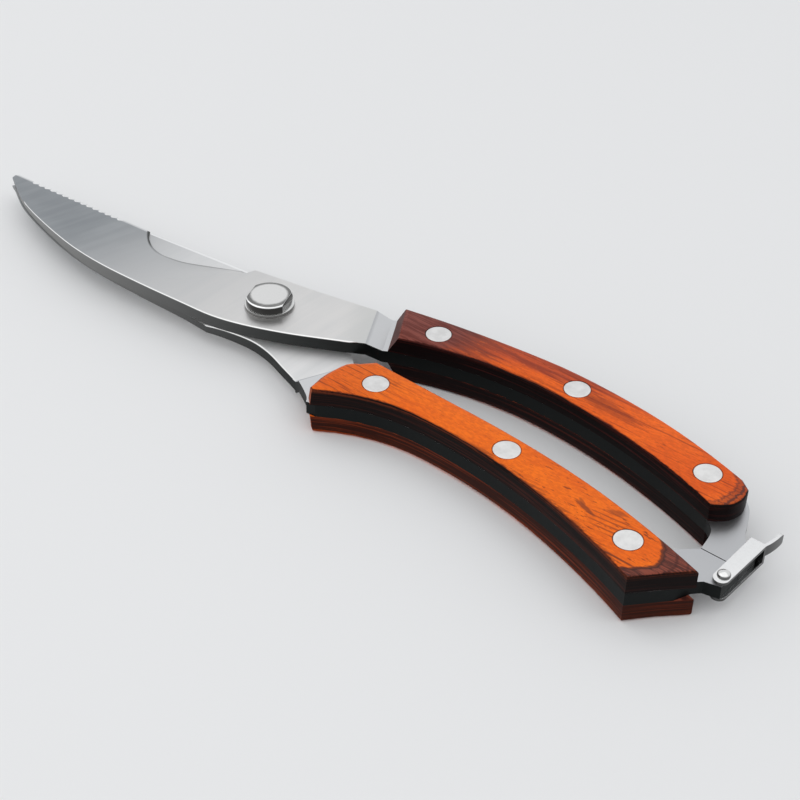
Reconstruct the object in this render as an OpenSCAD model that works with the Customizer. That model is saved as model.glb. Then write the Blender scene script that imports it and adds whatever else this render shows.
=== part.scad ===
// Poultry shears with riveted wooden handles, shut and latched.
// The origin is on the pivot axis at the resting plane. +X runs from the
// pivot to the handles, +Y to the far handle, +Z up.

/* [Blades] */
// Thickness of the steel of both blades and their tangs
blade_t = 3.5; // [2.8:0.1:4.2]
// Play between the flat inner faces of the two blades
blade_play = 0.1; // [0.06:0.02:0.2]
// Length of the upper blade from the pivot axis to its tip
blade_len = 108.2; // [100:0.2:125]
// How much shorter the lower blade is than the upper one
tip_setback = 3.4; // [2:0.2:6]
// Depth of the spine below the pivot axis at its deepest
spine_depth = 16; // [15:0.1:18]
// Height of the cutting edge above the pivot axis at the tip
tip_rise = 3.6; // [3.2:0.1:4.4]
// Height of the cutting edge above the pivot axis at the bone notch
edge_rise = 7.5; // [6.5:0.1:8.5]
// Thickness left at the cutting edges
edge_t = 0.3; // [0.2:0.05:0.5]
// Slope of the flat grind, rise over run
grind_slope = 0.135; // [0.11:0.005:0.15]
// Radius of the wheel that grinds the blade
wheel_r = 150; // [100:5:250]
// Length of the ramp that brings the upper blade down to its tang
upper_ramp_len = 4.4; // [3.4:0.1:4.6]
// Length of the ramp that brings the lower blade up to its tang
lower_ramp_len = 2.2; // [1.6:0.1:2.6]

/* [Bone notch and serration] */
// Distance from the pivot axis to the front wall of the bone notch
notch_front = 54.3; // [51:0.1:57]
// Distance from the pivot axis to the rear shoulder of the bone notch
notch_rear = 14.8; // [12:0.2:17]
// Height of the floor of the notch above the pivot axis
notch_floor = 0.2; // [-1:0.1:1.5]
// Number of scallops in the serrated stretch
scallops = 15; // [8:1:15]
// Pitch of the scallops
scallop_pitch = 2.45; // [1.8:0.05:2.5]
// Radius of each scallop
scallop_r = 1.5; // [1.3:0.1:2]
// Depth of each scallop
scallop_depth = 0.5; // [0.3:0.05:0.6]
// Lean of the scallops into the outer face, in degrees
scallop_lean = 50; // [30:1:60]
// Plain edge between the notch and the serrated stretch
plain_edge = 11.5; // [9:0.5:15]

/* [Handles] */
// Thickness of each wooden scale
scale_t = 4.9; // [4:0.1:6]
// Radius of the rounded edges of the scales at their ends
edge_round = 0.9; // [0.5:0.1:1]
// Radius of the rounded edges of the scales in the middle of the grip
grip_round = 1.6; // [1.2:0.1:2]
// How far the front of a far scale slopes back over its thickness
far_front_slope = 2.7; // [1:0.1:4]
// How far the front of a near scale slopes back over its thickness
near_front_slope = 4.4; // [2:0.1:5]
// Distance from the pivot axis to the front of the far scales
far_front = 28.2; // [27:0.1:30]
// Distance from the pivot axis to the rear end of the far scales
far_rear = 134.9; // [133:0.1:136]
// Height of the far handle's back above the pivot axis at the crown
far_crown = 25.6; // [24.5:0.1:27]
// Height of the far handle's inner side above the pivot axis at the crown
far_belly = 14.8; // [13.5:0.1:15.5]
// Depth of the near handle's outer side below the pivot axis at the crown
near_crown = 13.8; // [13.4:0.1:15]
// Depth of the near handle's inner side below the pivot axis at the crown
near_belly = 3.9; // [3.4:0.1:4.6]
// Distance from the pivot axis to the rear corner of the near scales
near_rear = 139.6; // [138.6:0.1:140.4]

/* [Rivets] */
// Diameter of the flush rivet heads
rivet_head_d = 6.54; // [5.6:0.02:6.8]
// Thickness of the rivet heads
rivet_head_t = 1.2; // [0.8:0.1:1.6]
// Outer diameter of the rivet's barrel
barrel_d = 4.6; // [4:0.1:5]
// Diameter of the rivet's post
post_d = 3; // [2.4:0.1:3.4]

/* [Pivot] */
// Diameter of the pivot bolt's shank
bolt_d = 6; // [5:0.1:6.6]
// Diameter of the washers above and below the blades
washer_d = 13.2; // [12.8:0.1:15]
// Thickness of the washers
washer_t = 0.8; // [0.5:0.1:1.1]
// Diameter of the bolt's head and of the cap nut
head_d = 12.4; // [11.6:0.1:12.6]
// Height of the bolt's head above its washer
head_h = 2.65; // [2.4:0.05:3.2]
// Width across the two flats of the head and the nut
flats_w = 10.3; // [9.4:0.1:10.8]
// Thickness of the closed floor of the cap nut
nut_floor = 0.7; // [0.4:0.1:1]
// Wire diameter of the opening spring
wire_d = 0.8; // [0.6:0.05:0.9]
// Mean diameter of the spring's coil
coil_d = 9.2; // [8.8:0.1:9.4]
// Depth of the spring's pocket in each blade
pocket_depth = 1.35; // [1.3:0.05:1.6]

/* [Latch] */
// Thickness of the latch's sheet
latch_t = 0.8; // [0.6:0.05:1]
// Play between the latch's arms and the tangs
latch_play = 0.15; // [0.1:0.05:0.3]
// Width of the latch's arms at the rivet
latch_w = 3.7; // [3.4:0.1:4.2]
// Distance from the rivet to the inside of the latch's web
latch_reach = 13.5; // [13.3:0.1:14.5]
// Length of the finger tab beyond the web
tab_len = 6.2; // [4:0.1:8]
// Height of the finger tab
tab_h = 3; // [2:0.1:4]
// Diameter of the latch rivet's shank
latch_pin_d = 2; // [1.6:0.1:2.2]
// Diameter of the latch rivet's domed heads
latch_head_d = 3; // [2.8:0.1:3.4]

/* [Running fits] */
// Play between a shaft and its bore, on the radius
fit = 0.05; // [0.03:0.01:0.09]

/* [Hidden] */
$fn = 48;
eps = 0.01;

// Levels of the stack, from the resting plane up
tang_z = scale_t;
tang_top = tang_z + blade_t;
stack_h = tang_top + scale_t;
lower_z = tang_z - (blade_t + blade_play) / 2;
upper_z = tang_z + (blade_t + blade_play) / 2;
lower_top = lower_z + blade_t;
upper_top = upper_z + blade_t;

// Straight line between two values, the unit vector, and the vector turned left
function mix(a, b, t) = a + (b - a) * t;
function unit(v) = v / norm(v);
function left(v) = [-v[1], v[0]];

// Smooth curve through the points p, with n steps between neighbours
function knot(p, i) = p[min(max(i, 0), len(p) - 1)];
function bend(a, b, c, d, t) =
    (2 * b + (c - a) * t + (2 * a - 5 * b + 4 * c - d) * t * t + (3 * b - a - 3 * c + d) * t * t * t) / 2;
function curve(p, n) = concat(
    [for (i = [0 : len(p) - 2], k = [0 : n - 1])
        bend(knot(p, i - 1), p[i], p[i + 1], knot(p, i + 2), k / n)],
    [p[len(p) - 1]]);

// Points of an arc round the centre c
function arc(c, r, a0, a1, n) = [for (k = [0 : n]) c + r * [cos(mix(a0, a1, k / n)), sin(mix(a0, a1, k / n))]];

// Inward direction at each corner of a closed outline, as long as its mitre
function mitres(p) = let (n = len(p)) [for (i = [0 : n - 1])
    let (a = left(unit(p[i] - p[(i + n - 1) % n])),
         b = left(unit(p[(i + 1) % n] - p[i])),
         m = unit(a + b))
    m / max(0.6, a * m)];

// ---- Handle sides ----
// A side bows out to its crown and falls off to its ends by a power of the distance
function bow(x, crown_x, crown_y, front_x, front_y, front_p, rear_x, rear_y) =
    x < crown_x
    ? mix(crown_y, front_y, pow((crown_x - x) / (crown_x - front_x), front_p))
    : mix(crown_y, rear_y, pow((x - crown_x) / (rear_x - crown_x), 2));

far_outer_crown_x = 78;
far_inner_crown_x = 75;
near_outer_crown_x = 66;
near_inner_crown_x = 68;
far_outer_front_y = 18.5;
far_outer_rear = [131.5, 16.6];
far_inner_front = [35.2, 6.4];
far_inner_rear = [130.2, 4.4];
near_outer_front = [35.5, -23];
near_outer_rear = [129.2, -27.2];
near_inner_front = [33.6, -3.8];
near_inner_rear = [near_rear, -15.7];

function far_outer(x) = bow(x, far_outer_crown_x, far_crown, far_front, far_outer_front_y, 1.5,
    far_outer_rear[0], far_outer_rear[1]);
function far_inner(x) = bow(x, far_inner_crown_x, far_belly, far_inner_front[0], far_inner_front[1], 2,
    far_inner_rear[0], far_inner_rear[1]);
function near_outer(x) = bow(x, near_outer_crown_x, -near_crown, near_outer_front[0], near_outer_front[1], 2.4,
    near_outer_rear[0], near_outer_rear[1]);
function near_inner(x) = bow(x, near_inner_crown_x, -near_belly, near_inner_front[0], near_inner_front[1], 2,
    near_inner_rear[0], near_inner_rear[1]);

side_steps = 20;
function side(x0, x1, kind) = [for (k = [0 : side_steps]) let (x = mix(x0, x1, k / side_steps))
    [x, kind == "far_outer" ? far_outer(x) : kind == "far_inner" ? far_inner(x)
        : kind == "near_outer" ? near_outer(x) : near_inner(x)]];

// Plan of the far scales with their front moved back by b; the outline runs anticlockwise
function far_plan(b) = concat(
    side(far_inner_front[0] + b, far_inner_rear[0], "far_inner"),
    curve([far_inner_rear + [1.6, 0.9], [far_rear - 0.9, 7.6], [far_rear, 11.2], [far_rear - 0.8, 14.6]], 3),
    side(far_outer_rear[0], far_front + b, "far_outer"));

// Plan of the near scales; their front is rounded and their rear is cut on the slant
near_front_bulge = [30.5, -12];
function near_plan(b) = concat(
    side(near_outer_front[0] + 0.1 * b, near_outer_rear[0], "near_outer"),
    [[134.2, -21.3]],
    side(near_inner_rear[0], near_inner_front[0] + 1.7 * b, "near_inner"),
    curve([near_inner_front + [1.25 * b - 1, -2 - 0.3 * b], near_front_bulge + [1.2 * b, 3.6 - 0.2 * b],
           near_front_bulge + [b, -3.2], near_front_bulge + [2.9 + 0.35 * b, -9.2 - 0.2 * b]], 3));

// ---- Scales ----
// A scale is a loft of its plan: straight walls, then a quarter round into the flat
// face. The round is fullest in the middle of the grip.
round_steps = 5;
grip_x = 76;
grip_half = 36;
function round_r(x) = mix(edge_round, grip_round, pow(max(0, 1 - pow((x - grip_x) / grip_half, 2)), 1.5));
function scale_plan(far, t) = far ? far_plan(far_front_slope * t) : near_plan(near_front_slope * t);

// One ring of the loft: a is 0 where the wall ends and 90 where the flat face begins
function ring(plan, a) = let (m = mitres(plan)) [for (i = [0 : len(plan) - 1])
    let (r = round_r(plan[i][0]), p = plan[i] + m[i] * r * (1 - cos(a)))
    [p[0], p[1], scale_t + trim - r * (1 - sin(a))]];

// The loft is made a little too tall at both ends and trimmed flat
trim = 0.01;
foot_trim = 1;
module scale_blank(far) {
    intersection() {
        scale_loft(far);
        translate([0, -60, 0]) cube([200, 120, scale_t]);
    }
}

module scale_loft(far) {
    wall_share = 1 - edge_round / scale_t;
    foot = [for (p = scale_plan(far, -foot_trim / scale_t)) [p[0], p[1], -foot_trim]];
    rings = concat([foot], [for (k = [0 : round_steps])
        ring(scale_plan(far, mix(wall_share, 1, k / round_steps)), 90 * k / round_steps)]);
    n = len(foot);
    points = [for (r = rings) for (p = r) p];
    top = len(rings) - 1;
    polyhedron(points, concat(
        [[for (i = [0 : n - 1]) i]],
        [for (j = [0 : top - 1], i = [0 : n - 1])
            [j * n + i, (j + 1) * n + i, (j + 1) * n + (i + 1) % n, j * n + (i + 1) % n]],
        [[for (i = [n - 1 : -1 : 0]) top * n + i]]));
}

// Rivet places along each handle
far_rivets = [[44.4, 15.4], [84, 19.6], [124.3, 13.2]];
near_rivets = [[46.1, -10.9], [85.1, -10.2], [123, -17.4]];

// The holes of one row of rivets: barrel holes through everything, recesses for the heads
module rivet_holes(places, z0, z1, recess_z) {
    for (p = places) translate([p[0], p[1], 0]) {
        translate([0, 0, z0 - 1]) cylinder(d = barrel_d + 2 * fit, h = z1 - z0 + 2);
        if (recess_z > 0) translate([0, 0, recess_z]) cylinder(d = rivet_head_d + 2 * fit, h = rivet_head_t + 1);
    }
}

module top_scale(far) {
    difference() {
        translate([0, 0, tang_top]) scale_blank(far);
        rivet_holes(far ? far_rivets : near_rivets, tang_top, stack_h, stack_h - rivet_head_t);
    }
}

module bottom_scale(far) {
    difference() {
        translate([0, 0, tang_z]) mirror([0, 0, 1]) scale_blank(far);
        translate([0, 0, scale_t]) mirror([0, 0, 1])
            rivet_holes(far ? far_rivets : near_rivets, 0, scale_t, scale_t - rivet_head_t);
    }
}

module far_top_scale() { color([0.80, 0.36, 0.20]) top_scale(true); }
module far_bottom_scale() { color([0.62, 0.28, 0.16]) bottom_scale(true); }
module near_top_scale() { color([0.93, 0.52, 0.22]) top_scale(false); }
module near_bottom_scale() { color([0.62, 0.28, 0.16]) bottom_scale(false); }

// ---- Tangs' tail ends ----
// The two tangs meet on a straight joint at the tail, under the latch
tail_joint_y = -4.4;
tail_gap = 0.25;
tail_x = 143.6;
tail_neck_x = 133.9;
nose_y = 3.8;
latch_pivot = [142.4, nose_y + 0.4 - latch_reach];

function far_tail() = concat(
    curve([[far_inner_rear[0] + 0.4, 4.1], [132.4, 2.4], [133.3, 0], [tail_neck_x, tail_joint_y + tail_gap / 2]], 4),
    [[tail_x, tail_joint_y + tail_gap / 2], [tail_x, nose_y - 0.7], [tail_x - 0.5, nose_y]],
    curve([[tail_x - 3.3, nose_y], [138.7, 6.6], [137.2, 10.4], [135.6, 13.6], [133.6, 15.9]], 4));

function near_tail() = concat(
    [[136.4, -18.9], [138.2, -14.6], [139.8, -13], [tail_x, -12], [tail_x, tail_joint_y - tail_gap / 2],
     [tail_neck_x, tail_joint_y - tail_gap / 2], [130.4, -7.9], [126.6, near_inner(126.6)]]);

// ---- Blades ----
// Side view of a blade: the blade's own level, the ramp, and the tang's level.
// The ramp, len long, ends at the distance s1 from the pivot in the direction a.
upper_ramp_turn = 29.2;
upper_ramp_end = 32.5;
lower_ramp_turn = -21.9;
lower_ramp_end = 31.6;
module blade_profile(a, s1, len, z_blade) {
    s0 = s1 - len;
    rotate([0, 0, a]) rotate([90, 0, 0]) translate([0, 0, -200]) linear_extrude(height = 400)
        polygon([[-200, z_blade], [s0, z_blade], [s1, tang_z], [200, tang_z],
                 [200, tang_top], [s1, tang_top], [s0, z_blade + blade_t], [-200, z_blade + blade_t]]);
}

// Shape of the curved spine: share of the blade's length, share of the spine's depth
spine_shape = [[0.993, -0.075], [0.967, 0.025], [0.936, 0.14], [0.871, 0.375], [0.805, 0.545],
               [0.728, 0.695], [0.646, 0.83], [0.553, 0.945], [0.444, 1], [0.306, 0.97], [0.167, 0.905],
               [0.074, 0.85]];
function spine(len, depth) = [for (s = spine_shape) [-s[0] * len, -s[1] * depth]];

// The cutting edge is straight, from just behind the tip to the notch
point_w = 0.7;
edge_x0 = point_w - blade_len;
function edge_y(x) = mix(tip_rise, edge_rise, (x - edge_x0) / (-notch_front - edge_x0));

// The shoulder of the upper blade, from the spine round the pivot to the wood
upper_shoulder = [[1, -11.2], [11, -7.1], [20, -2.5], [28.8, 2.4], far_inner_front];

// Bone notch: a steep front wall, a round floor and a long rise to the rear shoulder
notch_rear_y = 6.9;
function notch() = let (x0 = -notch_front, x1 = -notch_rear - 0.4, f = notch_floor) curve(
    [[x1, notch_rear_y], [x1 - 5.4, notch_rear_y - 1.2], [x1 - 11, mix(f, notch_rear_y, 0.58)],
     [x0 + 21, f + 1.25], [x0 + 16.5, f + 0.4], [x0 + 12.5, f + 0.1], [x0 + 8.5, f + 1],
     [x0 + 5.4, f + 2.6], [x0 + 1.7, f + 5.2], [x0, edge_rise]], 4);

cheek_rear = [-14.4, 9.4];
upper_cheek = [[far_front, far_outer_front_y], [25.4, 17.1], [17, 15.3], [6, 13], [-5, 11.1], [-notch_rear + 0.4, 9.4]];

function upper_plan() = concat(
    [[edge_x0, tip_rise], [-blade_len, tip_rise - point_w]],
    curve(concat(spine(blade_len, spine_depth), upper_shoulder), 4),
    side(far_inner_front[0] + 1.4, far_inner_rear[0] - 0.5, "far_inner"),
    far_tail(),
    side(far_outer_rear[0], far_front + 1, "far_outer"),
    curve(upper_cheek, 4),
    notch());

// Lower blade: its spine is the far side, its cutting edge lies under the upper spine
lower_len = blade_len - tip_setback;
lower_spine = concat(
    [[27.6, 1], [20, 4.4], [11, 8.2], [1, 10.9], [-9, 11.8], [-18, 11.4], [-28, 10.5], [-38, 9.4],
     [-44.5, 8.65], [-50, 7.95]],
    [for (s = [0.6, 0.74, 0.86]) [-s * lower_len, edge_y(-s * lower_len) - 0.3]],
    [[-0.94 * lower_len, 2.6], [-0.985 * lower_len, 0.7]]);
lower_heel = [[-9.4, -14.3], [-4, -12.6], [4, -11.4], [11, -12.2], [18, -14.4], [25, -16.8], [32, -20.6],
              near_outer_front + [-1.6, 0.4]];
// It shows a little beyond the upper spine near the tip and keeps inside it near the pivot
edge_beyond = 0.4;
edge_within = 0.3;
function lower_edge() = [for (s = spine_shape) if (s[0] < 0.94 && s[0] > 0.1)
    [-s[0] * blade_len,
     mix(edge_within, -edge_beyond, min(1, max(0, (s[0] - 0.4) / 0.3))) - s[1] * spine_depth]];

function lower_plan() = concat(
    [[-lower_len, -1.1]],
    curve(lower_edge(), 4),
    curve(lower_heel, 4),
    side(near_outer_front[0] + 1, near_outer_rear[0], "near_outer"),
    near_tail(),
    side(125.5, near_inner_front[0] + 2, "near_inner"),
    [near_inner_front],
    curve(lower_spine, 4));

module outline(points, z0, h) {
    translate([0, 0, z0]) linear_extrude(height = h) polygon(points);
}

// Flat grind of the upper blade's outer face, tilted about the cutting edge and
// run out by the round of the wheel before the pivot
edge_angle = atan((edge_rise - tip_rise) / (-notch_front - edge_x0));
grind_angle = atan(grind_slope);
grind_runout = 45;
module upper_grind() {
    translate([edge_x0, tip_rise, upper_z + edge_t]) rotate([0, 0, edge_angle]) rotate([-grind_angle, 0, 0])
        union() {
            translate([-20, -60, 0]) cube([-grind_runout - edge_x0 + 20, 90, 30]);
            translate([-grind_runout - edge_x0, -60, wheel_r]) rotate([-90, 0, 0])
                cylinder(r = wheel_r, h = 90, $fn = 360);
        }
}

// Flat grind of the lower blade's outer face, along the chord of its cutting edge
lower_grind_angle = -14.8;
lower_grind_y = -31.1;
module lower_grind() {
    translate([0, lower_grind_y, lower_top - edge_t]) rotate([0, 0, lower_grind_angle]) rotate([-grind_angle, 0, 0])
        mirror([0, 0, 1]) translate([-130, -40, 0]) cube([150, 120, 30]);
}

// Row of scallops along the cutting edge, from the plain edge to near the tip; each is
// ground on the slant, so that it bites further into the outer face
module serration() {
    first = notch_front + plain_edge;
    for (k = [0 : scallops - 1]) let (x = -first - k * scallop_pitch)
        translate([x, edge_y(x) - scallop_depth, upper_z]) rotate([scallop_lean, 0, 0])
            translate([0, scallop_r, -blade_t]) cylinder(r = scallop_r, h = 3 * blade_t);
}

// Pocket round the pivot for the opening spring, and the way for its leg
pocket_d = coil_d + wire_d + 0.9;
leg_len = 4.4;
leg_reach = norm([coil_d / 2 + wire_d / 2, leg_len]) + 0.25;
spring_turn = 200;
open_angle = 48;
leg_angle = atan(2 * leg_len / coil_d);
leg_free = 9;

module leg_sector(a0, a1, h) {
    linear_extrude(height = h) polygon(concat([[0, 0]], arc([0, 0], leg_reach, a0, a1, 12)));
}

module upper_blade() {
    color([0.74, 0.76, 0.78]) difference() {
        intersection() {
            outline(upper_plan(), -1, stack_h + 2);
            blade_profile(upper_ramp_turn, upper_ramp_end, upper_ramp_len, upper_z);
        }
        upper_grind();
        serration();
        translate([0, 0, upper_z - 1]) cylinder(d = bolt_d + 2 * fit, h = blade_t + 2);
        translate([0, 0, upper_z - 1]) cylinder(d = pocket_d, h = pocket_depth + 1);
        translate([0, 0, upper_z - 1]) rotate([0, 0, spring_turn])
            leg_sector(1 - open_angle - leg_free, leg_angle + leg_free, pocket_depth + 1);
        rivet_holes(far_rivets, tang_z, tang_top, 0);
    }
}

module lower_blade() {
    color([0.70, 0.72, 0.74]) difference() {
        intersection() {
            outline(lower_plan(), -1, stack_h + 2);
            blade_profile(lower_ramp_turn, lower_ramp_end, lower_ramp_len, lower_z);
        }
        lower_grind();
        translate([0, 0, lower_z - 1]) cylinder(d = bolt_d + 2 * fit, h = blade_t + 2);
        translate([0, 0, lower_top - pocket_depth]) cylinder(d = pocket_d, h = pocket_depth + 1);
        translate([0, 0, lower_top - pocket_depth]) rotate([0, 0, spring_turn])
            leg_sector(-leg_angle - leg_free, 4 - leg_free, pocket_depth + 1);
        rivet_holes(near_rivets, tang_z, tang_top, 0);
        translate([latch_pivot[0], latch_pivot[1], tang_z - 1]) cylinder(d = latch_pin_d + 2 * fit, h = blade_t + 2);
    }
}

// ---- Rivets: a post with a flush head from above, pressed into a barrel from below ----
module rivet_post(p) {
    color([0.86, 0.87, 0.88]) translate([p[0], p[1], 0]) {
        translate([0, 0, stack_h - rivet_head_t]) cylinder(d = rivet_head_d, h = rivet_head_t);
        translate([0, 0, scale_t / 2]) cylinder(d = post_d, h = stack_h - rivet_head_t - scale_t / 2 + eps);
    }
}

module rivet_barrel(p) {
    color([0.86, 0.87, 0.88]) translate([p[0], p[1], 0]) difference() {
        union() {
            cylinder(d = rivet_head_d, h = rivet_head_t);
            cylinder(d = barrel_d, h = stack_h - rivet_head_t - fit);
        }
        translate([0, 0, scale_t / 2 - fit]) cylinder(d = post_d + 2 * fit, h = stack_h);
    }
}

// ---- Pivot ----
washer_play = 0.05;
washer_top = upper_top + washer_play + washer_t;
bolt_end = nut_floor + 0.1;
flats_turn = 21;

// The space between the two spanner flats
module between_flats(w, h) {
    rotate([0, 0, flats_turn]) translate([-w / 2, -20, -1]) cube([w, 40, h + 2]);
}

// Head: straight rim, small round, low dome
head_rim = 1.7;
head_round = 0.6;
function head_section() = let (r = head_d / 2) concat(
    [[0, 0], [r, 0], [r, head_rim]],
    arc([r - head_round, head_rim], head_round, 0, 66, 5),
    [for (k = [1 : 6]) let (x = mix(r - head_round * 0.6, 0, k / 6))
        [x, mix(head_h, head_rim + head_round, pow(x / (r - head_round * 0.6), 2))]]);

module pivot_bolt() {
    color([0.90, 0.91, 0.92]) {
        intersection() {
            translate([0, 0, washer_top]) rotate_extrude($fn = 72) polygon(head_section());
            translate([0, 0, washer_top]) between_flats(flats_w, head_h);
        }
        translate([0, 0, bolt_end]) cylinder(d = bolt_d, h = washer_top - bolt_end + eps);
    }
}

module washer(z) {
    translate([0, 0, z]) difference() {
        cylinder(d = washer_d, h = washer_t, $fn = 72);
        translate([0, 0, -1]) cylinder(d = bolt_d + 2 * fit, h = washer_t + 2);
    }
}
module top_washer() { color([0.80, 0.81, 0.82]) washer(upper_top + washer_play); }
module bottom_washer() { color([0.80, 0.81, 0.82]) washer(lower_z - washer_t); }

module cap_nut() {
    h = lower_z - washer_t;
    color([0.86, 0.87, 0.88]) difference() {
        intersection() {
            rotate_extrude($fn = 72) polygon([[0, 0], [head_d / 2 - 0.6, 0], [head_d / 2, 0.6], [head_d / 2, h], [0, h]]);
            between_flats(flats_w, h);
        }
        translate([0, 0, nut_floor]) cylinder(d = bolt_d + 2 * fit, h = h);
    }
}

// Opening spring: two turns of round wire with straight legs, lying in the blades' pockets
spring_turns = 2;
spring_pitch = wire_d + 0.06;
spring_z = lower_top - pocket_depth + wire_d / 2 + 0.1;
turn_steps = 20;
function coil_pt(t) = [coil_d / 2 * cos(360 * t), coil_d / 2 * sin(360 * t), spring_z + spring_pitch * t];
function spring_path() = concat(
    [coil_pt(0) + [0, -leg_len, 0]],
    [for (k = [0 : turn_steps * spring_turns]) coil_pt(k / turn_steps)],
    [coil_pt(spring_turns) + [0, leg_len, 0]]);

wire_sides = 8;
module wire(path, d) {
    n = len(path);
    points = [for (i = [0 : n - 1])
        let (t = unit(path[min(i + 1, n - 1)] - path[max(i - 1, 0)]), u = unit(cross(t, [0, 0, 1])), v = cross(u, t))
        for (k = [0 : wire_sides - 1]) path[i] + d / 2 * (cos(360 * k / wire_sides) * u + sin(360 * k / wire_sides) * v)];
    polyhedron(points, concat(
        [[for (k = [0 : wire_sides - 1]) k]],
        [for (i = [0 : n - 2], k = [0 : wire_sides - 1])
            [i * wire_sides + k, (i + 1) * wire_sides + k,
             (i + 1) * wire_sides + (k + 1) % wire_sides, i * wire_sides + (k + 1) % wire_sides]],
        [[for (k = [wire_sides - 1 : -1 : 0]) (n - 1) * wire_sides + k]]));
}

module opening_spring() {
    color([0.55, 0.56, 0.58]) rotate([0, 0, spring_turn]) wire(spring_path(), wire_d);
}

// ---- Latch: a stirrup that turns on the near tang and hooks over the far tang's nose ----
latch_low = tang_z - latch_play - latch_t;
latch_high = tang_top + latch_play + latch_t;
web_y = latch_pivot[1] + latch_reach;
arm_end_r = latch_w / 2;
arm_flare = 0.55;

function arm_plan() = concat(
    arc(latch_pivot + [0, -0.95], arm_end_r, 180, 360, 16),
    [[latch_pivot[0] + arm_end_r + arm_flare, web_y + latch_t], [latch_pivot[0] - arm_end_r + 0.25, web_y + latch_t]]);

tab_root = [latch_pivot[0] + arm_end_r + arm_flare - latch_t / 2, web_y + latch_t / 2];
function tab_line() = curve([tab_root, tab_root + [0.45, tab_len * 0.25], tab_root + [0.8, tab_len * 0.6],
                             tab_root + [0.95, tab_len]], 4);
function strip(line, w) = let (n = len(line)) [for (side = [1, -1]) for (k = [0 : n - 1])
    let (i = side > 0 ? k : n - 1 - k, t = unit(line[min(i + 1, n - 1)] - line[max(i - 1, 0)]))
    line[i] + side * w / 2 * left(t)];

module latch_clip() {
    color([0.84, 0.85, 0.87]) {
        difference() {
            union() {
                outline(arm_plan(), latch_low, latch_t);
                outline(arm_plan(), latch_high - latch_t, latch_t);
                intersection() {
                    outline(arm_plan(), latch_low, latch_high - latch_low);
                    translate([latch_pivot[0] - 10, web_y, latch_low]) cube([20, latch_t + 1, latch_high - latch_low]);
                }
                intersection() {
                    outline(strip(tab_line(), latch_t), latch_low, latch_high - latch_low);
                    translate([0, web_y, latch_high - tab_h]) rotate([90, 0, 90]) linear_extrude(height = 400)
                        polygon(concat([[-1, 0], [-1, tab_h]], arc([tab_len - 0.6, tab_h / 2], tab_h / 2, 90, -90, 8)));
                }
            }
            translate([latch_pivot[0], latch_pivot[1], latch_low - 1])
                cylinder(d = latch_pin_d + 2 * fit, h = latch_high - latch_low + 2, $fn = 32);
        }
    }
}

// Domed rivet through both arms and the near tang
latch_head_h = 0.85;
function dome(r, h) = concat([[0, 0], [r, 0], [r, 0.15]],
    [for (k = [1 : 6]) let (a = 90 * k / 6) [r * cos(a), 0.15 + (h - 0.15) * sin(a)]]);
module latch_rivet() {
    color([0.80, 0.81, 0.83]) translate([latch_pivot[0], latch_pivot[1], 0]) {
        translate([0, 0, latch_low - eps]) cylinder(d = latch_pin_d, h = latch_high - latch_low + 2 * eps, $fn = 32);
        translate([0, 0, latch_high + eps]) rotate_extrude($fn = 32) polygon(dome(latch_head_d / 2, latch_head_h));
        translate([0, 0, latch_low - eps]) mirror([0, 0, 1]) rotate_extrude($fn = 32)
            polygon(dome(latch_head_d / 2, latch_head_h));
    }
}

upper_blade();
lower_blade();
far_top_scale();
far_bottom_scale();
near_top_scale();
near_bottom_scale();
rivet_post(far_rivets[0]);  // far_front_rivet_post
rivet_barrel(far_rivets[0]);  // far_front_rivet_barrel
rivet_post(far_rivets[1]);  // far_middle_rivet_post
rivet_barrel(far_rivets[1]);  // far_middle_rivet_barrel
rivet_post(far_rivets[2]);  // far_rear_rivet_post
rivet_barrel(far_rivets[2]);  // far_rear_rivet_barrel
rivet_post(near_rivets[0]);  // near_front_rivet_post
rivet_barrel(near_rivets[0]);  // near_front_rivet_barrel
rivet_post(near_rivets[1]);  // near_middle_rivet_post
rivet_barrel(near_rivets[1]);  // near_middle_rivet_barrel
rivet_post(near_rivets[2]);  // near_rear_rivet_post
rivet_barrel(near_rivets[2]);  // near_rear_rivet_barrel
pivot_bolt();
top_washer();
bottom_washer();
cap_nut();
opening_spring();
latch_clip();
latch_rivet();
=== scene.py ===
import math

import bmesh
import bpy
from mathutils import Matrix, Vector


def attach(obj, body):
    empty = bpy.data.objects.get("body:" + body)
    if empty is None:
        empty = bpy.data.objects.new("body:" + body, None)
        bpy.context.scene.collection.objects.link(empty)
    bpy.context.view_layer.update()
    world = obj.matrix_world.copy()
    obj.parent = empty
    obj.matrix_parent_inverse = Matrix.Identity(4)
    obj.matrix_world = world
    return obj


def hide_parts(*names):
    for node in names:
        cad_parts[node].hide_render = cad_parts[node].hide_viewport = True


# Poultry shears, shut and latched, lying on their side.
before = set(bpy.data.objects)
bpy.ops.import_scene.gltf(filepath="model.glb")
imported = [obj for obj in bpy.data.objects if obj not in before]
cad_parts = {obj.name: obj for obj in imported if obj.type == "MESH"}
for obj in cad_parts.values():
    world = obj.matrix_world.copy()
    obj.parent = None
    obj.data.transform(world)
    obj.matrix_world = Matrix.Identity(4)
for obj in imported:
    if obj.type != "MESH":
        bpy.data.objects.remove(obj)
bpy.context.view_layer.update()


# ---- Blades ----
# Two curved steel blades, each forged in one with its tang, ground flat on the outside
# and satin finished. The pivot bolt joins them. The upper one has a bone notch and a
# scalloped stretch of edge.
MM = 0.001


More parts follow.
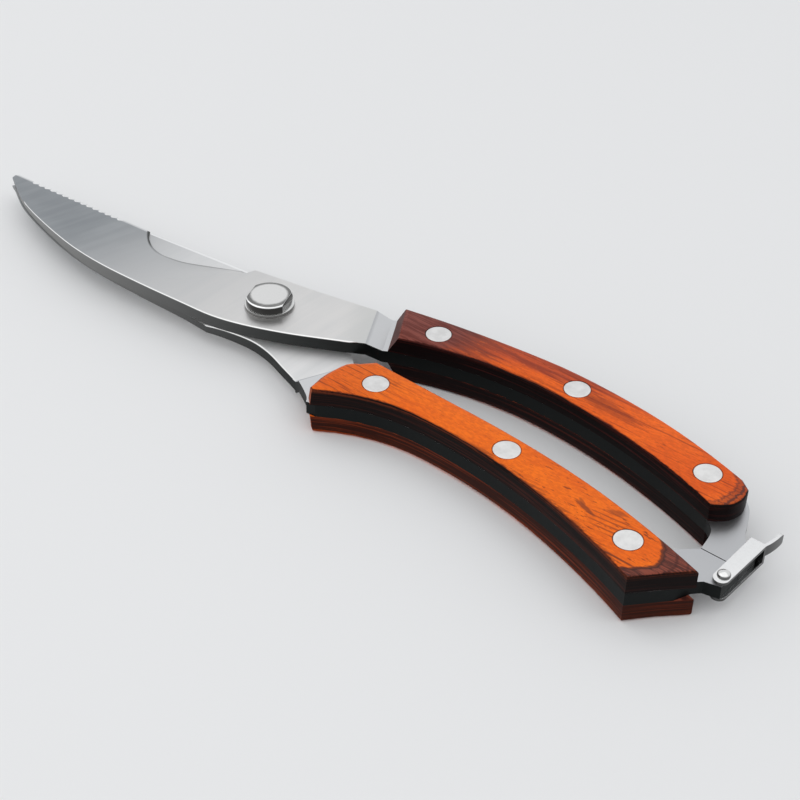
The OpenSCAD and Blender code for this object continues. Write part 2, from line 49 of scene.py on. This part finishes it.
class Shade:
    """A value in a material, so that shader maths reads as plain arithmetic."""

    def __init__(self, finish, socket):
        self.finish, self.socket = finish, socket

    def math(self, operation, *values):
        return self.finish.node(
            "ShaderNodeMath", {"operation": operation}, dict(enumerate(values))
        )

    def __add__(self, other):
        return self.math("ADD", self, other)

    def __sub__(self, other):
        return self.math("SUBTRACT", self, other)

    def __rsub__(self, other):
        return self.math("SUBTRACT", other, self)

    def __mul__(self, other):
        return self.math("MULTIPLY", self, other)

    def __truediv__(self, other):
        return self.math("DIVIDE", self, other)

    __radd__, __rmul__ = __add__, __mul__

    def power(self, exponent):
        return self.math("POWER", self, exponent)

    def absolute(self):
        return self.math("ABSOLUTE", self)

    def wave(self):
        return self.math("SINE", self)

    def step(self, low, high):
        """0 below low, 1 above high, smooth between."""
        return self.finish.node(
            "ShaderNodeMapRange",
            {"interpolation_type": "SMOOTHSTEP"},
            {"Value": self, "From Min": low, "From Max": high},
        )

    def drop(self, low, high):
        """1 below low, 0 above high, smooth between."""
        return 1 - self.step(low, high)


class Finish:
    """One material: a Principled shader and the nodes that feed it."""

    def __init__(self, name, metallic=0.0, roughness=0.5):
        self.material = bpy.data.materials.new(name)
        self.material.use_nodes = True
        self.nodes = self.material.node_tree.nodes
        self.shader = self.nodes["Principled BSDF"]
        self.shader.inputs["Metallic"].default_value = metallic
        self.shader.inputs["Roughness"].default_value = roughness

    def node(self, kind, settings=None, inputs=None, out=0):
        """Adds a node, sets it up, feeds its sockets and returns one of its outputs."""
        made = self.nodes.new(kind)
        for key, value in (settings or {}).items():
            setattr(made, key, value)
        for key, value in (inputs or {}).items():
            self.feed(made.inputs[key], value)
        return Shade(self, made.outputs[out])

    def feed(self, socket, value):
        if isinstance(value, Shade):
            self.material.node_tree.links.new(value.socket, socket)
        elif socket.type == "RGBA":
            socket.default_value = (*value, 1)
        else:
            socket.default_value = value

    def place(self, scale=(1, 1, 1), turn=0.0, shift=(0, 0, 0)):
        """Object coordinates in millimetres, scaled, turned about Z by degrees and shifted."""
        return self.node(
            "ShaderNodeMapping",
            inputs={
                "Vector": self.node("ShaderNodeTexCoord", out="Object"),
                "Location": shift,
                "Rotation": (0, 0, math.radians(turn)),
                "Scale": [1000 * s for s in scale],
            },
        )

    def position(self):
        """The X, Y and Z of the point in millimetres."""
        point = {"Vector": self.place()}
        return [self.node("ShaderNodeSeparateXYZ", inputs=point, out=axis) for axis in "XYZ"]

    def facing(self, axis):
        """How far the surface faces along an axis of the part, from -1 to 1."""
        normal = {"Vector": self.node("ShaderNodeTexCoord", out="Normal")}
        return self.node("ShaderNodeSeparateXYZ", inputs=normal, out=axis)

    def noise(self, point, detail=3.0, roughness=0.55):
        return self.node(
            "ShaderNodeTexNoise",
            inputs={"Vector": point, "Scale": 1.0, "Detail": detail, "Roughness": roughness},
        )

    def mix(self, factor, a, b):
        """Colour a where the factor is 0, colour b where it is 1."""
        return self.node(
            "ShaderNodeMix", {"data_type": "RGBA"}, {"Factor": factor, "A": a, "B": b}, out="Result"
        )

    def wear(self, colour, roughness=None, height=None, depth=0.0, strength=1.0):
        """Sends colour, roughness and a bump as deep as depth, in millimetres, to the shader."""
        self.feed(self.shader.inputs["Base Color"], colour)
        if roughness is not None:
            self.feed(self.shader.inputs["Roughness"], roughness)
        if height is not None:
            bump = self.node(
                "ShaderNodeBump",
                inputs={"Height": height, "Distance": depth * MM, "Strength": strength},
            )
            self.feed(self.shader.inputs["Normal"], bump)
        return self.material


def merged_copy(node):
    """The node's solid as one welded mesh with its flat faces whole."""
    weld, flat_angle = 0.001 * MM, math.radians(0.3)
    bm = bmesh.new()
    bm.from_mesh(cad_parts[node].data)
    bmesh.ops.remove_doubles(bm, verts=bm.verts, dist=weld)
    bmesh.ops.dissolve_degenerate(bm, edges=bm.edges, dist=weld)
    bmesh.ops.dissolve_limit(
        bm, angle_limit=flat_angle, verts=bm.verts, edges=bm.edges, delimit={"NORMAL"}
    )
    return bm


def sharp_edges(bm, angle, wanted=lambda middle: True):
    """Edges that turn by more than the angle in degrees, and whose middle in millimetres is
    wanted."""
    limit = math.radians(angle)
    return [
        e
        for e in bm.edges
        if len(e.link_faces) == 2
        and e.calc_face_angle() > limit
        and wanted((e.verts[0].co + e.verts[1].co) / 2 / MM)
    ]


def chamfer(bm, edges, width, segments=2, clamp=True):
    bmesh.ops.bevel(
        bm,
        geom=edges,
        offset=width * MM,
        offset_type="OFFSET",
        affect="EDGES",
        segments=segments,
        profile=0.5,
        material=-1,
        clamp_overlap=clamp,
    )


def fit(bm, node, body, material, smooth, crisp=None):
    """Makes the mesh the piece that stands for the node, on its body. Edges that turn by more
    than smooth stay sharp. On level faces, those that turn by more than crisp do."""
    for face in bm.faces:
        face.smooth = True
    for edge in bm.edges:
        if len(edge.link_faces) == 2:
            level = all(abs(face.normal.z) > 0.9 for face in edge.link_faces)
            limit = crisp if level and crisp is not None else smooth
            edge.smooth = edge.calc_face_angle() < math.radians(limit)
    bmesh.ops.triangulate(bm, faces=[f for f in bm.faces if len(f.verts) > 4])
    mesh = bpy.data.meshes.new(node + "_finished")
    bm.to_mesh(mesh)
    bm.free()
    mesh.materials.clear()
    mesh.materials.append(material)
    piece = bpy.data.objects.new(node + "_finished", mesh)
    bpy.context.collection.objects.link(piece)
    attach(piece, body)
    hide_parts(node)


def ground_steel(name, crease, lean, edge, edge_end, tones, rough, upper):
    """Satin steel, brightened from the tip to the pivot by a painted reflection, with walls in
    painted shade.
    The places are in millimetres.

    crease, lean: a point of the crease ahead of the scales, where the tang's own grind
        begins, and how the crease leans across the blade.
    edge, edge_end: two points of the honed edge, and the X at which it ends.
    tones: grey and coolness of the painted reflection at the tip, middle and pivot's end.
    upper: 1 for the upper blade, with its painted edge highlights and bone notch, else 0.
    """
    tip, middle, bright = ([grey, grey * (1 + cool) / 2, grey * cool] for grey, cool in tones)
    pewter, shadow = (0.60, 0.62, 0.63), (0.66, 0.67, 0.65)
    tang_grey, tail_grey, crease_shade = (0.67, 0.68, 0.695), (0.50, 0.505, 0.52), (0.36, 0.37, 0.38)
    tip_wall_shade, pivot_wall_shade, notch_wall_shade = (0.30, 0.30, 0.295), (0.016, 0.018, 0.018), (0.05, 0.052, 0.05)
    honed_highlight, broken_edge_highlight, lip_shade = (1.0, 1.0, 1.0), (1.0, 1.0, 0.99), (0.05, 0.053, 0.05)

    steel = Finish(name, metallic=1.0)
    x, y, _ = steel.position()
    lines = steel.noise(steel.place((2.6, 0.10, 0.5)), detail=4)
    broad = steel.noise(steel.place((0.35, 0.02, 0.1)), detail=3)
    cloud = steel.noise(steel.place((0.06, 0.06, 0.06)), detail=2)

    # the blade's face, brightened from the tip to the pivot by a painted reflection, then the
    # painted shade before the crease, the tang and its tail
    behind = x - crease[0] - lean * (y - crease[1])
    tang = behind.step(-0.15, 0.15)
    before_crease = behind.step(-11, -1) * (1 - tang)
    on_crease = tang * behind.drop(0.2, 1.2)
    face = steel.mix(x.step(-74, -26), tip, middle)
    face = steel.mix(x.step(-38, 8), face, bright)
    face = steel.mix((broad + cloud - 0.7).step(0.0, 0.8) * 0.3, face, pewter)
    face = steel.mix(upper * before_crease * 0.5, face, shadow)
    face = steel.mix(tang * 0.7, face, tang_grey)
    face = steel.mix(x.step(122, 132) * 0.7, face, tail_grey)
    # painted shade along the crease
    face = steel.mix(on_crease * 0.4, face, crease_shade)

    # a painted highlight along the honed edge
    (x0, y0), (x1, y1) = edge
    inside = y0 + (y1 - y0) / (x1 - x0) * (x - x0) - y
    honed = inside.drop(0.4, 0.8) * x.drop(edge_end - 0.4, edge_end)
    face = steel.mix(honed * (0.95 - 0.45 * upper), face, honed_highlight)

    # a painted highlight on the broken edges, but not round the notch
    notch_front, notch_low, notch_rear = -54.5, -40.5, -14
    across = x.step(notch_front - 1.5, notch_front) * x.drop(notch_rear, notch_rear + 2)
    notch = upper * across * (y - 0.05 * x).step(1.5, 2.5)
    up = steel.facing("Z").absolute()
    flat = up.step(0.12, 0.3)
    broken = flat * up.drop(0.86, 0.91) * (1 - notch)
    face = steel.mix(upper * broken, face, broken_edge_highlight)

    # the notch's lip is ground back and painted dark in shade, most of all at its steep front;
    # the border falls from there to notch_low and rises in a long line to the rear
    ahead = (x - notch_low - (x - notch_low).absolute()) / 2
    border_y = 0.25 + 6.9 * x.step(notch_low, notch_rear + 0.5) + 0.0355 * ahead * ahead
    steep = x.drop(notch_front + 4.5, notch_front + 9.5)
    lip = (y - border_y).step(-0.9, -0.3) * (0.4 + 0.55 * steep)
    lip = lip * x.drop(notch_rear - 2.5, notch_rear - 1.5)
    face = steel.mix(notch * lip, face, lip_shade)

    # walls in painted shade: grey at the tip, near black towards the pivot and in the notch
    wall = steel.mix(x.step(-95, 40), tip_wall_shade, pivot_wall_shade)
    wall = steel.mix(notch, wall, notch_wall_shade)
    return steel.wear(
        colour=steel.mix(flat, wall, face),
        roughness=rough + 0.13 * (1 - flat) + 0.1 * (lines - 0.5) + 0.1 * (cloud - 0.5),
        height=lines - 2 * on_crease,
        depth=0.005,
        strength=0.5,
    )


upper_steel = ground_steel(
    "satin_upper_blade",
    crease=(23.4, 15.7),
    lean=-0.559,
    edge=((-107.5, 3.6), (-54.3, 7.5)),
    edge_end=-54.8,
    tones=((0.30, 1.13), (0.66, 1.0), (0.865, 0.96)),
    rough=0.33,
    upper=1,
)
lower_steel = ground_steel(
    "satin_lower_blade",
    crease=(24.7, -16.2),
    lean=0.444,
    edge=((-50, 8.05), (-18, 11.45)),
    edge_end=-14,
    tones=((0.41, 1.05), (0.86, 0.99), (0.96, 0.98)),
    rough=0.42,
    upper=0,
)
# no edge is broken within this radius of the bolt, where the washer lies
washer_room = 9


def on_notch_border(m):
    """The top edge of the bone notch, from its front to just short of its rear end."""
    return -54.4 < m.x < -15 and 0 < m.y < 7.2 and m.z > 7.0


def on_upper_spine(m):
    """The top edge of the upper blade's back, from the tip to the scales, clear of the washer."""
    return -108 < m.x < 27 and m.y < 0.09 * m.x + 0.5 and m.z > 7.1 and m.xy.length > washer_room


def on_lower_spine(m):
    """The lower blade's top edge, from where it comes out from under the upper one."""
    return -10 < m.x < 24.5 and m.y < 0 and m.z > 6.4 and m.xy.length > washer_room


for node, body, steel, on_spine in (
    ("upper_blade", "upper_half", upper_steel, on_upper_spine),
    ("lower_blade", "lower_half", lower_steel, on_lower_spine),
):
    bm = merged_copy(node)
    if node == "upper_blade":
        chamfer(bm, sharp_edges(bm, 45, on_notch_border), 0.3)
    chamfer(bm, sharp_edges(bm, 45, on_spine), 0.35, segments=3, clamp=False)
    fit(bm, node, body, steel, smooth=24, crisp=2)


# ---- Wooden scales ----
# Four oiled hardwood scales, riveted one above and one below each tang and shaped to
# the hand with rounded edges. Their walls are painted dark in shade; the broad faces show
# the grain.
class Plank:
    """The grain of one scale: its finish, its place in millimetres and its noises."""

    def __init__(self, name, turn, seed):
        self.wood = wood = Finish(name)
        wood.shader.inputs["Specular IOR Level"].default_value = 0.08
        wood.shader.inputs["Coat Roughness"].default_value = 0.3
        self.seed, self.turn = seed, turn
        self.x, self.y, self.z = wood.position()
        tone_place = wood.place((0.05, 0.09, 0.09), shift=(seed, 0, 0))
        self.tone = wood.noise(tone_place, detail=2) - 0.5
        self.streak = self.fibre(0.05, 0.75, detail=5) - 0.5
        self.fine = self.fibre(0.22, 3.4, detail=3) - 0.5
        self.flecks = self.fibre(0.42, 2.3, detail=2).step(0.63, 0.70)
        self.mottle = self.fibre(0.7, 1.7, detail=4).step(0.36, 0.62)

    def fibre(self, along, across, detail=3.0, turn=0.0):
        """Noise drawn out along the grain; along and across are changes per millimetre."""
        point = self.wood.place((along, across, across), self.turn + turn, (self.seed, 0, 0))
        return self.wood.noise(point, detail=detail, roughness=0.6)

    def tint(self, colour, mask, amount=1.0):
        """Colours the face where the mask is 1, as strongly as amount."""
        self.face = self.wood.mix(mask * amount, self.face, colour)

    def patch(self, x, y, long, wide, turn=0.0, fray=0.0):
        """1 inside an ellipse about x and y, fading to 0 at its frayed edge."""
        c, s = math.cos(math.radians(turn)), math.sin(math.radians(turn))
        u = (c * (self.x - x) + s * (self.y - y)) / long
        v = (c * (self.y - y) - s * (self.x - x)) / wide
        return (u * u + v * v + fray * (self.streak + self.fine)).drop(0.35, 1.3)

    def finished(self, wall_shade, light, edge_sheen_red):
        """Adds the walls in painted shade with light stripes, a painted highlight on the front
        walls and a red painted sheen at the rounded edges, and the open pores, and returns the
        material."""
        wood, streak, fine = self.wood, self.streak, self.fine
        wall = (wood.facing("Z").absolute() + 0.35 * streak + 0.25 * fine).drop(0.60, 0.86)
        front = (0 - wood.facing("X")).step(0.35, 0.6)
        rear = wood.facing("X").step(0.5, 0.8)
        stripe_place = wood.place((0.03, 0.03, 2.0), shift=(0, 0, self.seed))
        stripes = wood.noise(stripe_place, detail=4).step(0.5, 0.7)
        # the walls' painted shade, with light stripes in it
        wall_shade_and_grain = wood.mix(stripes * (1 - 0.6 * rear), wall_shade, light)
        # near the rounded edges a red painted sheen, with the growth lines in it
        mid_height = 6.85
        near_edge = (self.z - mid_height).absolute().step(4.6, 6.5)
        growth_place = wood.place((0.04, 0.04, 3.2), shift=(0, 0, self.seed))
        growth = (wood.noise(growth_place, detail=3) + 0.3 * fine).step(0.42, 0.62)
        wall_shade_and_grain = wood.mix(near_edge * growth * (0.9 - 0.65 * rear), wall_shade_and_grain, edge_sheen_red)
        # the walls take the painted shade; front walls take less of it, a painted highlight
        self.tint(wall_shade_and_grain, wall, 1 - 0.4 * front)
        wood.feed(wood.shader.inputs["Coat Weight"], 0.14 * (1 - wall))
        return wood.wear(
            colour=self.face,
            roughness=0.36 + 0.2 * streak + 0.12 * self.flecks + 0.1 * wall,
            height=fine + 0.5 * streak - 0.6 * self.flecks,
            depth=0.012,
            strength=0.4,
        )


def near_wood(name, seed, wall_shade_and_grain):
    """Bright orange sapwood; a growth ring closes round the rear rivet before the heartwood."""
    plank = Plank(name, -4, seed)
    wood, x, y, streak, fine = plank.wood, plank.x, plank.y, plank.streak, plank.fine

    # sapwood, deeper in patches and browner at the front
    light_orange, deep_orange = (0.98, 0.190, 0.008), (0.90, 0.148, 0.007)
    front_brown, streak_red = (0.62, 0.100, 0.010), (0.50, 0.066, 0.007)
    pore_red = (0.52, 0.070, 0.007)
    plank.face = wood.mix((plank.tone * 2.2 + 0.5).step(0.0, 1.0), light_orange, deep_orange)
    plank.tint(front_brown, (x + 14 * plank.tone).drop(42, 56), 0.35)
    plank.tint(streak_red, (streak * 3.5 + fine * 1.5).step(0.1, 1.2), 0.6)
    plank.tint(pore_red, plank.mottle, 0.38)

    # fine dark grain at the front
    front_lines = plank.fibre(0.06, 1.5, turn=-7).step(0.53, 0.64)
    plank.tint((0.19, 0.030, 0.008), front_lines * x.drop(44, 60), 0.75)

    # flecks, thicker towards the rear, and a dark fringe along the outer edge
    plank.tint((0.20, 0.035, 0.010), plank.flecks, 0.30 + 0.5 * x.step(84, 98))
    from_edge = y + 13.2 + 0.0034 * (x - 65) * (x - 65)
    fringe = (from_edge + 6 * streak + 5 * fine).drop(0.1, 1.3)
    plank.tint((0.12, 0.026, 0.009), fringe * x.step(70, 84) * x.drop(122, 130), 0.5)

    # curled grain and small knots before the rear rivet
    curl = ((y + 1.6 * plank.tone + 0.8 * streak - 0.1 * x) * 4.6).wave().step(0.15, 0.9)
    plank.tint((0.22, 0.040, 0.012), curl * plank.patch(117, -15.6, 5.8, 4.0, fray=2.0), 0.62)
    plank.tint((0.16, 0.036, 0.014), plank.patch(110, -14.9, 3.8, 0.62, -17, fray=1.5), 0.7)
    plank.tint((0.18, 0.040, 0.014), plank.patch(108.4, -13.6, 1.5, 0.5, -30, fray=1.5), 0.5)
    plank.tint((0.20, 0.04, 0.014), plank.patch(116.5, -11.8, 2.6, 0.8, 12, fray=2.5), 0.55)

    # heartwood behind the growth ring, with darker rings in it and a dark line round it
    dark_heart, light_heart = (0.085, 0.024, 0.018), (0.25, 0.062, 0.038)
    ring = x - 132.0 + 0.11 * (y + 18.5) * (y + 18.5) + 2.4 * plank.tone + 2.2 * streak
    heart = wood.mix((fine * 3 + streak * 4 + 0.5).step(0.1, 0.9), dark_heart, light_heart)
    plank.tint(heart, ring.step(0.0, 0.5))
    plank.tint((0.06, 0.016, 0.013), (ring * 2.4).wave().step(0.4, 1.0) * ring.step(0.8, 1.6), 0.6)
    plank.tint((0.050, 0.018, 0.015), ring.step(-0.7, -0.1) * ring.drop(0.4, 1.1), 0.85)
    # the ring trails forward along the outer edge
    trail = (y + 23.7 + 0.7 * streak).absolute().drop(0.1, 0.45)
    plank.tint((0.09, 0.022, 0.012), trail * x.step(117, 121) * x.drop(127, 130), 0.8)
    return plank.finished(*wall_shade_and_grain)


def far_wood(name, seed, wall_shade_and_grain):
    """Plum at the front, red brown along the back, running out to orange at the rear."""
    plank = Plank(name, -3, seed)
    wood, x, y, streak, fine = plank.wood, plank.x, plank.y, plank.streak, plank.fine

    # orange sapwood beyond a ragged border, red brown along the back
    light_orange, deep_orange = (0.97, 0.160, 0.012), (0.80, 0.110, 0.009)
    dark_red, light_red = (0.29, 0.041, 0.016), (0.57, 0.083, 0.022)
    orange = wood.mix((plank.tone * 2.2 + 0.5).step(0.0, 1.0), light_orange, deep_orange)
    red = wood.mix((streak * 3 + 0.5).step(0.1, 0.9), dark_red, light_red)
    border = 18.0 + 0.2 * (x - 75) - y + 9 * streak + 4 * plank.tone
    plank.face = wood.mix(border.step(-3.0, 1.8), red, orange)
    plank.tint((0.235, 0.050, 0.026), (x + 26 * streak + 8 * plank.tone).drop(50, 68), 0.8)
    plank.tint((0.55, 0.085, 0.012), (streak * 3.2 + fine * 1.8).step(0.25, 1.3), 0.5)
    plank.tint((0.36, 0.046, 0.010), plank.mottle, 0.30)

    # long dark grain lines from the middle rivet back, and two dark patches
    lines = plank.fibre(0.03, 1.3).step(0.56, 0.66)
    plank.tint((0.19, 0.024, 0.008), lines * x.step(56, 90), 0.55)
    plank.tint((0.20, 0.026, 0.010), plank.patch(94, 18.2, 10, 2.4, -4, fray=3.0), 0.5)
    plank.tint((0.10, 0.050, 0.034), plank.patch(62, 12.8, 9, 1.0, 8, fray=2.5), 0.5)

    # orange sparks in the brown, then the plum front
    dark_plum, light_plum = (0.105, 0.022, 0.018), (0.215, 0.062, 0.050)
    sparks = plank.fibre(0.35, 1.1).step(0.60, 0.70)
    plank.tint((0.62, 0.11, 0.022), sparks * x.step(46, 52) * x.drop(66, 78), 0.6)
    plum = wood.mix((fine * 2.5 + streak * 3 + 0.5).step(0.1, 0.9), dark_plum, light_plum)
    plank.tint(plum, (x + 16 * streak).drop(47, 57), 0.85)
    plank.tint((0.09, 0.018, 0.010), plank.flecks, 0.4)

    # the end grain curls round behind the rear rivet
    u, v = (x - 119.5) / 13.8, (y - 11.6) / 12.5
    curl = (u * u + v * v + 0.5 * streak + 0.25 * plank.tone) * 10
    rings = 0.45 + (curl * 2.6).wave().step(-0.2, 0.8) * 0.45
    plank.tint((0.085, 0.026, 0.020), curl.step(7.1, 8.5) * x.step(120, 126), rings)
    return plank.finished(*wall_shade_and_grain)


# wall colours: the painted shade, its light stripes, the red painted sheen at the edges
for node, body, slot, grain, seed, wall_shade_and_grain in (
    (
        "near_top_scale", "lower_half", "orange_wood", near_wood, 3.1,
        ((0.0045, 0.0017, 0.0016), (0.040, 0.008, 0.005), (0.21, 0.040, 0.012)),
    ),
    (
        "near_bottom_scale", "lower_half", "orange_wood", near_wood, 8.7,
        ((0.028, 0.005, 0.002), (0.16, 0.024, 0.006), (0.36, 0.058, 0.010)),
    ),
    (
        "far_top_scale", "upper_half", "red_wood", far_wood, 5.3,
        ((0.0045, 0.0015, 0.0016), (0.045, 0.007, 0.006), (0.075, 0.012, 0.008)),
    ),
    (
        "far_bottom_scale", "upper_half", "red_wood", far_wood, 1.9,
        ((0.007, 0.002, 0.002), (0.06, 0.010, 0.006), (0.075, 0.012, 0.008)),
    ),
):
    bm = merged_copy(node)
    # the cut edges of the top and bottom faces
    chamfer(bm, sharp_edges(bm, 60, lambda m: m.z > 13.2 or m.z < 0.1), 0.18, segments=1)
    fit(bm, node, body, grain(node + "_wood", seed, wall_shade_and_grain), smooth=30)


# ---- Cutler's rivets ----
# Three in each handle: a post driven into a barrel, the heads ground flush with the
# scales and left with a fine satin.
def rivet_satin():
    dull, clean = (0.81, 0.80, 0.785), (0.92, 0.91, 0.895)
    steel = Finish("rivet_satin", metallic=1.0)
    lines = steel.noise(steel.place((0.5, 5, 1), turn=25), detail=4)
    cloud = steel.noise(steel.place((0.5, 0.5, 0.5)), detail=4)
    return steel.wear(
        colour=steel.mix(cloud.step(0.3, 0.7), dull, clean),
        roughness=0.34 + 0.14 * (lines - 0.5) + 0.1 * (cloud - 0.5),
        height=lines,
        depth=0.004,
        strength=0.5,
    )


rivet_steel = rivet_satin()
for handle, body in (("far", "upper_half"), ("near", "lower_half")):
    for place in ("front", "middle", "rear"):
        for part in ("post", "barrel"):
            node = f"{handle}_{place}_rivet_{part}"
            bm = merged_copy(node)
            chamfer(bm, sharp_edges(bm, 60), 0.12)
            fit(bm, node, body, rivet_steel, smooth=18)


# ---- Pivot ----
# A polished steel bolt with two spanner flats holds the blades together, with turned
# washers and a cap nut below. The wire opening spring lies round it, between the blades.
def polished(name, tint, rough=0.16, wall=0.5, rim=None):
    """Bright steel; wall is how much of the brightness is left on upright faces, which are
    painted darker in shade. A head with a rim has a painted dark reflection outside that
    radius, and a painted highlight on its broken edge."""
    steel = Finish(name, metallic=1.0)
    cloud = steel.noise(steel.place((1.3, 1.3, 1.3)), detail=4)
    up = steel.facing("Z").absolute()
    face = steel.mix(cloud, [0.94 * c for c in tint], tint)
    if rim is not None:
        x, y, _ = steel.position()
        radius = (x * x + y * y).power(0.5) + 0.5 * (cloud - 0.5)
        # the dark margin is a painted reflection
        face = steel.mix(radius.step(rim - 0.9, rim) * 0.85, face, [0.12 * c for c in tint])
    # upright faces are painted darker in shade
    colour = steel.mix(up.step(0.55, 0.92), [wall * c for c in tint], face)
    if rim is not None:
        # a painted highlight on the broken edge
        colour = steel.mix(up.step(0.3, 0.45) * up.drop(0.86, 0.93), colour, (1.0, 1.0, 0.99))
    return steel.wear(
        colour=colour,
        roughness=rough + 0.09 * (cloud - 0.5),
        height=cloud,
        depth=0.004,
        strength=0.3,
    )


pivot_steel = polished("polished_pivot_steel", (0.90, 0.895, 0.88), wall=0.18)
head_steel = polished("polished_head_steel", (0.96, 0.95, 0.935), rough=0.10, wall=0.05, rim=5.3)
for node, width, steel in (
    ("pivot_bolt", 0.2, head_steel),
    ("top_washer", 0.15, pivot_steel),
    ("bottom_washer", 0.15, pivot_steel),
    ("cap_nut", 0.2, head_steel),
):
    bm = merged_copy(node)
    chamfer(bm, sharp_edges(bm, 40), width, segments=3)
    fit(bm, node, "lower_half", steel, smooth=28)

spring_wire = polished("drawn_spring_wire", (0.55, 0.56, 0.58), rough=0.35)
bm = merged_copy("opening_spring")
fit(bm, "opening_spring", "lower_half", spring_wire, smooth=60)


# ---- Tail latch ----
# A stirrup of bright sheet steel with a finger tab, bent round both tangs. It turns on
# a small domed rivet in the lower one.
latch_sheet = polished("bright_latch_sheet", (0.95, 0.95, 0.945), rough=0.2, wall=0.10)
bm = merged_copy("latch_clip")
chamfer(bm, sharp_edges(bm, 40), 0.1)
fit(bm, "latch_clip", "latch", latch_sheet, smooth=18)
bm = merged_copy("latch_rivet")
fit(bm, "latch_rivet", "lower_half", pivot_steel, smooth=40)


# ---- Stage ----
# A pale floor, a pale surround, soft lamps and the camera, all in metres.
def pale_floor():
    floor = Finish("pale_floor", roughness=0.9)
    cloud = floor.noise(floor.place((0.002, 0.002, 0.002)), detail=1)
    return floor.wear(colour=floor.mix(cloud, (0.82, 0.82, 0.82), (0.85, 0.85, 0.85)))


bm = bmesh.new()
bmesh.ops.create_grid(bm, x_segments=1, y_segments=1, size=12)
mesh = bpy.data.meshes.new("floor")
bm.to_mesh(mesh)
bm.free()
mesh.materials.append(pale_floor())
floor = bpy.data.objects.new("floor", mesh)
bpy.context.collection.objects.link(floor)

world = bpy.data.worlds.new("surround")
bpy.context.scene.world = world
world.use_nodes = True
surround = world.node_tree.nodes["Background"]
surround.inputs["Color"].default_value = (0.965, 0.98, 1.0, 1)
surround.inputs["Strength"].default_value = 0.75


def lamp(name, place, size, watts):
    """A square area lamp that shines on the middle of the shears."""
    middle = Vector((0.02, 0, 0.01))
    data = bpy.data.lights.new(name, "AREA")
    data.size, data.energy = size, watts
    made = bpy.data.objects.new(name, data)
    made.location = place
    made.rotation_euler = (middle - Vector(place)).to_track_quat("-Z", "Y").to_euler()
    bpy.context.collection.objects.link(made)


lamp("high_lamp", (0.05, 0.05, 1.35), size=2.0, watts=4.1)
lamp("left_lamp", (-0.64, -0.76, 0.80), size=1.8, watts=3.2)

# The camera looks from eye to aim and is tilted a little about that line.
eye = Vector((0.2400, -0.2388, 0.2374))
aim = Vector((0.0547, -0.01205, 0.0133))
tilt = math.radians(1.297)
forward = (aim - eye).normalized()
level_right = forward.cross(Vector((0, 0, 1))).normalized()
level_up = level_right.cross(forward)
right = math.cos(tilt) * level_right + math.sin(tilt) * level_up
up = math.cos(tilt) * level_up - math.sin(tilt) * level_right
camera = bpy.data.objects.new("camera", bpy.data.cameras.new("camera"))
camera.data.lens = 69.63
camera.data.sensor_width = 36
camera.data.clip_start = 0.01
turned = Matrix((right, up, -forward)).transposed().to_4x4()
camera.matrix_world = Matrix.Translation(eye) @ turned
bpy.context.collection.objects.link(camera)
bpy.context.scene.camera = camera
bpy.context.scene.view_settings.view_transform = "Standard"
